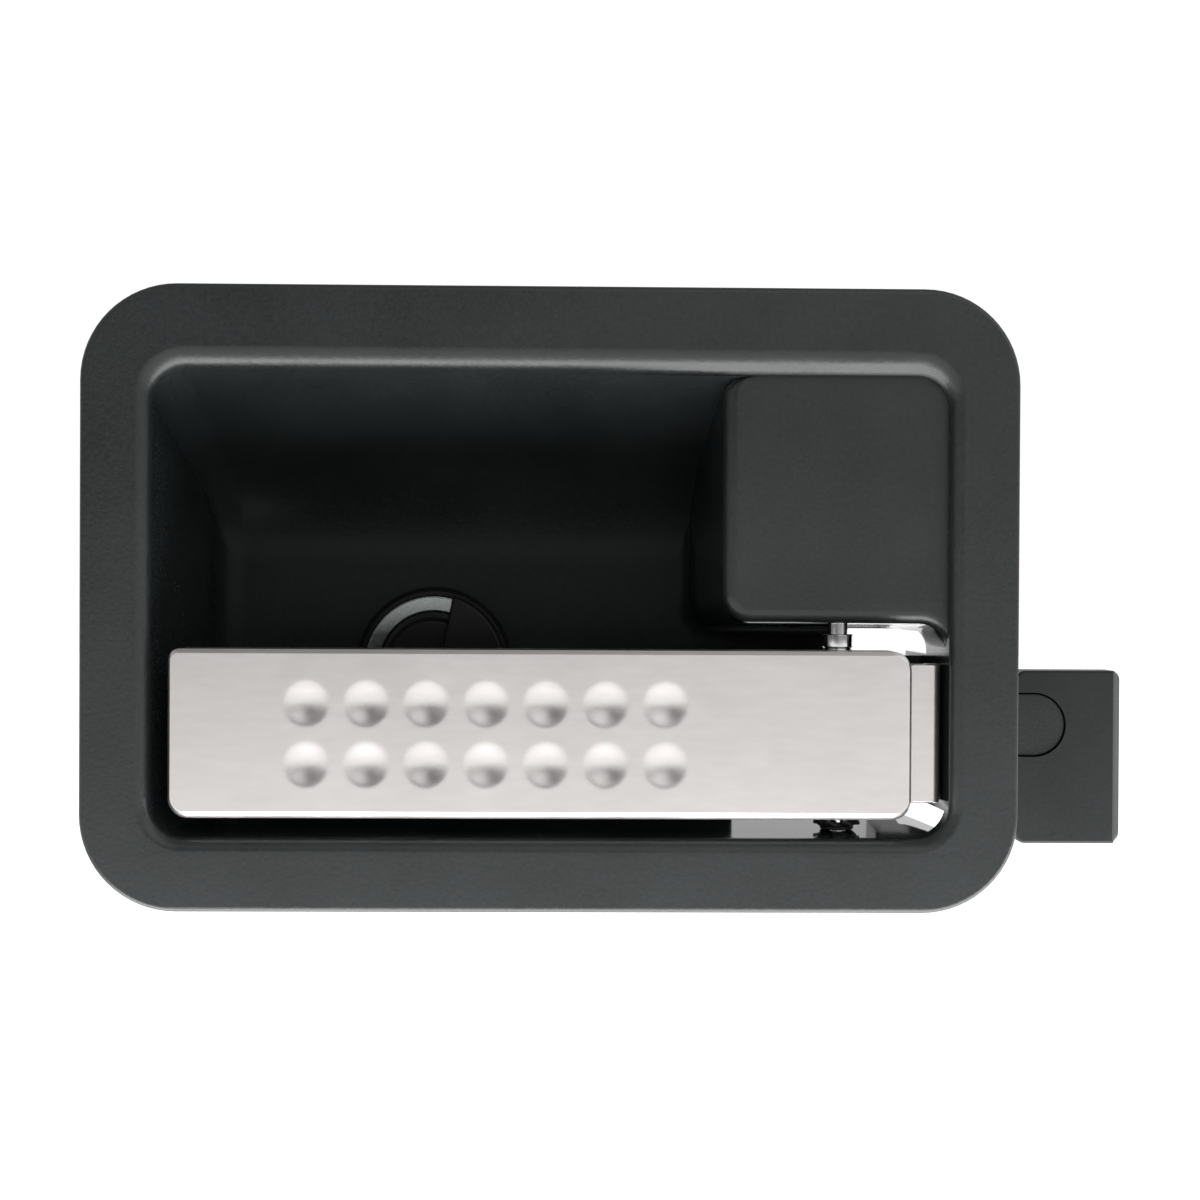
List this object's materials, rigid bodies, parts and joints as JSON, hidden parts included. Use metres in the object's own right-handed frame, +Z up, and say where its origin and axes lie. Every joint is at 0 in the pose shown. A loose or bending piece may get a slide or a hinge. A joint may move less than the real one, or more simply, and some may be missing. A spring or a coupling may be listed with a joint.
{
  "type": "interior door handle",
  "caption": "Flush interior door handle: dished black pan with flange, hinged silver pull lever with grip dimples, sliding bolt drawn by the lever and a quarter-turn snib on the floor",
  "frame": {"origin": "Centre of the four panel studs, on the door panel's front face where the gasket's back lies", "axes": "+X to the right towards the bolt, +Y into the door, +Z up; the paddle faces -Y"},
  "size_m": [0.2091, 0.0623, 0.12],
  "materials": {
    "black_paint": "fine textured satin black",
    "black_rubber": "matte",
    "zinc_steel": "bright zinc",
    "plain_steel": "turned",
    "black_steel": "black oxide",
    "spring_steel": "drawn wire",
    "pale_plastic": "moulded",
    "black_plastic": "fine grained",
    "bright_chrome": "polished",
    "satin_silver": "satin, brushed along its length",
    "bearing_brass": "turned"
  },
  "bodies": {
    "housing": {"housing_pan": "black_paint", "flange_gasket": "black_rubber", "panel_studs": "zinc_steel", "hinge_pin": "plain_steel", "hinge_spacers": "plain_steel", "star_clip": "black_steel", "lever_spring": "spring_steel", "guide_liner": "pale_plastic", "guide_plate": "zinc_steel", "guide_screws": "zinc_steel", "snib_rosette": "black_plastic", "snib_ring": "bright_chrome", "snib_sleeve": "plain_steel", "snib_washer": "zinc_steel", "snib_nut": "zinc_steel"},
    "lever": {"lever_paddle": "satin_silver", "lever_arm": "satin_silver", "lever_bushes": "bearing_brass", "lever_screws": "zinc_steel"},
    "bolt": {"bolt_head": "black_paint", "bolt_bar": "black_steel", "bolt_screws": "zinc_steel", "bar_buffers": "black_rubber"},
    "snib": {"snib_knob": "black_plastic", "snib_spindle": "plain_steel", "wave_washer": "spring_steel", "snib_cam": "zinc_steel", "cam_screw": "zinc_steel"}
  },
  "joints": [
    {"name": "lever_pull", "type": "hinge", "parent": "housing", "child": "lever", "pos_m": [0.0565, 0.007, -0.0258], "axis": [0, 0, 1], "range_deg": [0, 36], "stiffness_Nm_per_rad": 0.6, "springref_deg": -28.65, "deforming": ["lever_spring"]},
    {"name": "bolt_slide", "type": "slide", "parent": "housing", "child": "bolt", "axis": [1, 0, 0], "range_m": [-0.0136, 0]},
    {"name": "snib_turn", "type": "hinge", "parent": "housing", "child": "snib", "pos_m": [-0.0255, 0.044, -0.0144], "axis": [0, -1, 0], "range_deg": [0, 90]}
  ],
  "couplings": [
    {"joint": "bolt_slide", "follows": "lever_pull", "m_per_rad": -0.02164}
  ]
}
